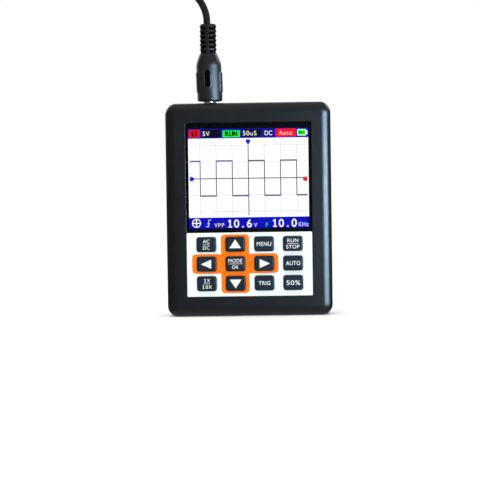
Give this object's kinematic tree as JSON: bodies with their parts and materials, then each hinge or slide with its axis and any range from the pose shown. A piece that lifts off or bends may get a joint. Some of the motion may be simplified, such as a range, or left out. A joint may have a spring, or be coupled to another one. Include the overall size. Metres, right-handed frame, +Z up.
{
  "type": "handheld oscilloscope",
  "caption": "Pocket digital oscilloscope: colour display over a rubber keypad in a soft-edged two-shell case, with a removable probe plug and lead.",
  "frame": {"origin": "middle of the flat bottom end, where the case stands", "axes": "+Z up along the case's long side, the screen and keys face -Y, +X is to the reader's right; the case is centred on X = 0 and its thickness runs from Y = -10 mm to +10 mm"},
  "size_m": [0.069, 0.021, 0.1394],
  "materials": {
    "case_plastic": "satin moulded ABS, fine texture, near black",
    "window_clear": "clear window, printed black round its border on the back",
    "sheet_white": "white printed keypad overlay with an orange cross",
    "display_glass": "lit colour display, smooth glass front",
    "frame_white": "moulded display tray",
    "flex_amber": "amber flexible circuit",
    "board_green": "green solder mask over glass fibre",
    "chip_black": "black moulded plastic, dull",
    "shield_metal": "tinned sheet steel, dull",
    "battery_foil": "silver laminate pouch",
    "jack_nickel": "nickel plate, bright",
    "plug_nickel": "nickel plate, bright",
    "socket_metal": "tinned sheet steel",
    "screw_steel": "zinc plated steel",
    "light_pipe": "milky light pipe",
    "key_rubber": "slate silicone key, satin, white legend",
    "switch_plastic": "moulded switch base",
    "plunger_plastic": "moulded plunger",
    "plug_rubber": "moulded flexible plastic, satin black",
    "cable_jacket": "smooth black cable jacket",
    "cable_core": "white cable insulation seen at the cut end"
  },
  "bodies": {
    "case": {"front_case": "case_plastic", "rear_case": "case_plastic", "case_screw_top_left": "screw_steel", "case_screw_top_right": "screw_steel", "case_screw_bottom_left": "screw_steel", "case_screw_bottom_right": "screw_steel", "screen_window": "window_clear", "keypad_sheet": "sheet_white", "display_panel": "display_glass", "display_tray": "frame_white", "display_ribbon": "flex_amber", "main_board": "board_green", "processor_chip": "chip_black", "shield_can": "shield_metal", "battery_cell": "battery_foil", "input_jack": "jack_nickel", "usb_socket": "socket_metal", "charge_light": "light_pipe", "power_switch_body": "socket_metal", "switch_body_ac_dc": "switch_plastic", "switch_body_up": "switch_plastic", "switch_body_menu": "switch_plastic", "switch_body_run_stop": "switch_plastic", "switch_body_left": "switch_plastic", "switch_body_ok": "switch_plastic", "switch_body_right": "switch_plastic", "switch_body_auto": "switch_plastic", "switch_body_attenuation": "switch_plastic", "switch_body_down": "switch_plastic", "switch_body_trigger": "switch_plastic", "switch_body_half_level": "switch_plastic"},
    "key_ac_dc": {"key_ac_dc": "key_rubber", "switch_plunger_ac_dc": "plunger_plastic"},
    "key_up": {"key_up": "key_rubber", "switch_plunger_up": "plunger_plastic"},
    "key_menu": {"key_menu": "key_rubber", "switch_plunger_menu": "plunger_plastic"},
    "key_run_stop": {"key_run_stop": "key_rubber", "switch_plunger_run_stop": "plunger_plastic"},
    "key_left": {"key_left": "key_rubber", "switch_plunger_left": "plunger_plastic"},
    "key_ok": {"key_ok": "key_rubber", "switch_plunger_ok": "plunger_plastic"},
    "key_right": {"key_right": "key_rubber", "switch_plunger_right": "plunger_plastic"},
    "key_auto": {"key_auto": "key_rubber", "switch_plunger_auto": "plunger_plastic"},
    "key_attenuation": {"key_attenuation": "key_rubber", "switch_plunger_attenuation": "plunger_plastic"},
    "key_down": {"key_down": "key_rubber", "switch_plunger_down": "plunger_plastic"},
    "key_trigger": {"key_trigger": "key_rubber", "switch_plunger_trigger": "plunger_plastic"},
    "key_half_level": {"key_half_level": "key_rubber", "switch_plunger_half_level": "plunger_plastic"},
    "power_slider": {"power_switch_slider": "chip_black"},
    "plug_metal": {"plug_contact": "plug_nickel"},
    "plug_lead": {"plug_barrel": "plug_rubber", "probe_cable": "cable_jacket", "cable_core": "cable_core"}
  },
  "joints": [
    {"name": "press_ac_dc", "type": "slide", "parent": "case", "child": "key_ac_dc", "axis": [0, 1, 0], "range_m": [0, 0.0003]},
    {"name": "press_up", "type": "slide", "parent": "case", "child": "key_up", "axis": [0, 1, 0], "range_m": [0, 0.0003]},
    {"name": "press_menu", "type": "slide", "parent": "case", "child": "key_menu", "axis": [0, 1, 0], "range_m": [0, 0.0003]},
    {"name": "press_run_stop", "type": "slide", "parent": "case", "child": "key_run_stop", "axis": [0, 1, 0], "range_m": [0, 0.0003]},
    {"name": "press_left", "type": "slide", "parent": "case", "child": "key_left", "axis": [0, 1, 0], "range_m": [0, 0.0003]},
    {"name": "press_ok", "type": "slide", "parent": "case", "child": "key_ok", "axis": [0, 1, 0], "range_m": [0, 0.0003]},
    {"name": "press_right", "type": "slide", "parent": "case", "child": "key_right", "axis": [0, 1, 0], "range_m": [0, 0.0003]},
    {"name": "press_auto", "type": "slide", "parent": "case", "child": "key_auto", "axis": [0, 1, 0], "range_m": [0, 0.0003]},
    {"name": "press_attenuation", "type": "slide", "parent": "case", "child": "key_attenuation", "axis": [0, 1, 0], "range_m": [0, 0.0003]},
    {"name": "press_down", "type": "slide", "parent": "case", "child": "key_down", "axis": [0, 1, 0], "range_m": [0, 0.0003]},
    {"name": "press_trigger", "type": "slide", "parent": "case", "child": "key_trigger", "axis": [0, 1, 0], "range_m": [0, 0.0003]},
    {"name": "press_half_level", "type": "slide", "parent": "case", "child": "key_half_level", "axis": [0, 1, 0], "range_m": [0, 0.0003]},
    {"name": "power_slide", "type": "slide", "parent": "case", "child": "power_slider", "axis": [1, 0, 0], "range_m": [0, 0.002]},
    {"name": "plug_pull", "type": "slide", "parent": "case", "child": "plug_metal", "axis": [0, 0, 1], "range_m": [0, 0.012]},
    {"name": "plug_swivel", "type": "hinge", "parent": "plug_metal", "child": "plug_lead", "pos_m": [-0.0158, 0.00185, 0.0935], "axis": [0, 0, 1], "continuous": true}
  ]
}
